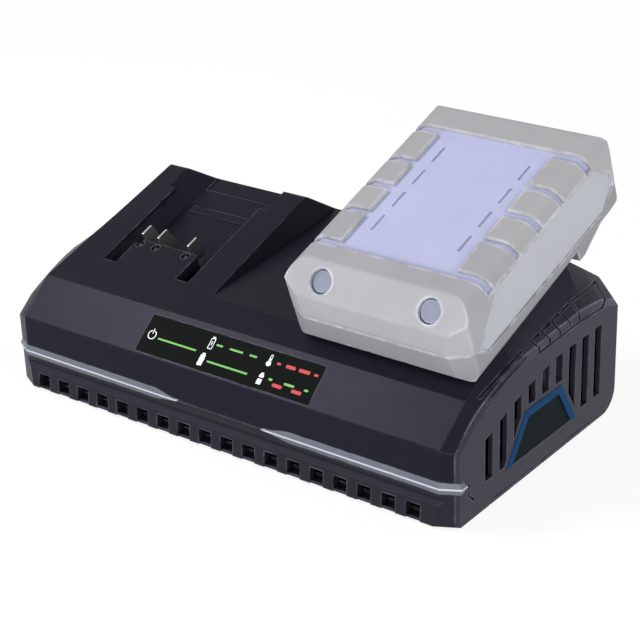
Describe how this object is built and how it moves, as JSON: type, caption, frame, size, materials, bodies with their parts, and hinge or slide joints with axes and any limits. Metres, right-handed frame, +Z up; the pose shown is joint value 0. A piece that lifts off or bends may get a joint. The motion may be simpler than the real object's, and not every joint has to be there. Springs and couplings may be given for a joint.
{
  "type": "twin-bay power tool battery charger",
  "caption": "Twin-bay charger for slide-on tool batteries, with sloped docking decks, side vents, light strips and a battery docked in one bay.",
  "frame": {"origin": "centre of the whole object's box in X and Y, on the surface the rubber feet stand on", "axes": "+X to the right across both bays, seen from the front; +Y from the indicator label to the rear wall; +Z up"},
  "size_m": [0.212, 0.1252, 0.1093],
  "materials": {
    "badge_black": "gloss",
    "badge_blue": "satin",
    "box_yellow": "cast",
    "capacitor_black": "sleeved",
    "cell_sleeve": "shrink sleeve",
    "circuit_board": "lacquered",
    "contact_metal": "nickel plated",
    "copper": "enamelled copper",
    "fan_black": "moulded",
    "ferrite": "sintered",
    "fuse_white": "ceramic",
    "housing": "fine grain",
    "inlet_black": "smooth",
    "label_black": "gloss film",
    "led_white": "clear",
    "light_strip": "satin silver",
    "lower_shell": "fine grain",
    "pack_grey": "fine grain",
    "pack_lavender": "fine grain",
    "pack_soft_grey": "soft-touch",
    "plug_blue": "satin",
    "rubber_black": "matt",
    "screw_steel": "zinc plated",
    "side_panel": "fine grain",
    "sink_aluminium": "extruded",
    "winding_yellow": "taped"
  },
  "bodies": {
    "charger": {"board_screws": "screw_steel", "box_capacitor": "box_yellow", "capacitors": "capacitor_black", "fan_frame": "fan_black", "fuse": "fuse_white", "heat_sinks": "sink_aluminium", "housing_screws": "screw_steel", "indicator_board": "circuit_board", "indicator_leds": "led_white", "indicator_panel": "label_black", "inlet_pins": "contact_metal", "left_badge_frame": "badge_blue", "left_badge_plate": "badge_black", "left_blades": "contact_metal", "left_contact_block": "inlet_black", "left_contact_pins": "contact_metal", "left_light_strip": "light_strip", "left_side_panel": "side_panel", "left_transformer_core": "ferrite", "left_transformer_winding": "winding_yellow", "line_filter_choke": "copper", "lower_housing": "lower_shell", "main_board": "circuit_board", "mains_inlet": "inlet_black", "right_badge_frame": "badge_blue", "right_badge_plate": "badge_black", "right_blades": "contact_metal", "right_contact_block": "inlet_black", "right_contact_pins": "contact_metal", "right_light_strip": "light_strip", "right_side_panel": "side_panel", "right_transformer_core": "ferrite", "right_transformer_winding": "winding_yellow", "rubber_feet": "rubber_black", "upper_housing": "housing"},
    "battery_pack": {"battery_cells": "cell_sleeve", "button_spring": "contact_metal", "left_cell_holder": "fan_black", "left_cell_links": "contact_metal", "pack_board": "circuit_board", "pack_front_cap": "pack_soft_grey", "pack_left_grips": "pack_soft_grey", "pack_left_side_plate": "pack_grey", "pack_lower_shell": "pack_grey", "pack_rear_cap": "pack_soft_grey", "pack_right_grips": "pack_soft_grey", "pack_right_side_plate": "pack_grey", "pack_screw_plugs": "plug_blue", "pack_terminal_block": "inlet_black", "pack_terminals": "contact_metal", "pack_upper_shell": "pack_lavender", "right_cell_holder": "fan_black", "right_cell_links": "contact_metal"},
    "release_button": {"release_button": "plug_blue"},
    "fan_rotor": {"fan_rotor": "fan_black"}
  },
  "joints": [
    {"name": "pack_slide", "type": "slide", "parent": "charger", "child": "battery_pack", "axis": [0, 0.9444, 0.3289], "range_m": [0, 0.085]},
    {"name": "button_press", "type": "slide", "parent": "battery_pack", "child": "release_button", "axis": [0, -0.9444, -0.3289], "range_m": [0, 0.003], "stiffness_N_per_m": 400, "deforming": ["button_spring"]},
    {"name": "fan_spin", "type": "hinge", "parent": "charger", "child": "fan_rotor", "pos_m": [0.0965, -0.00146, 0.0248], "axis": [1, 0, 0], "continuous": true}
  ]
}
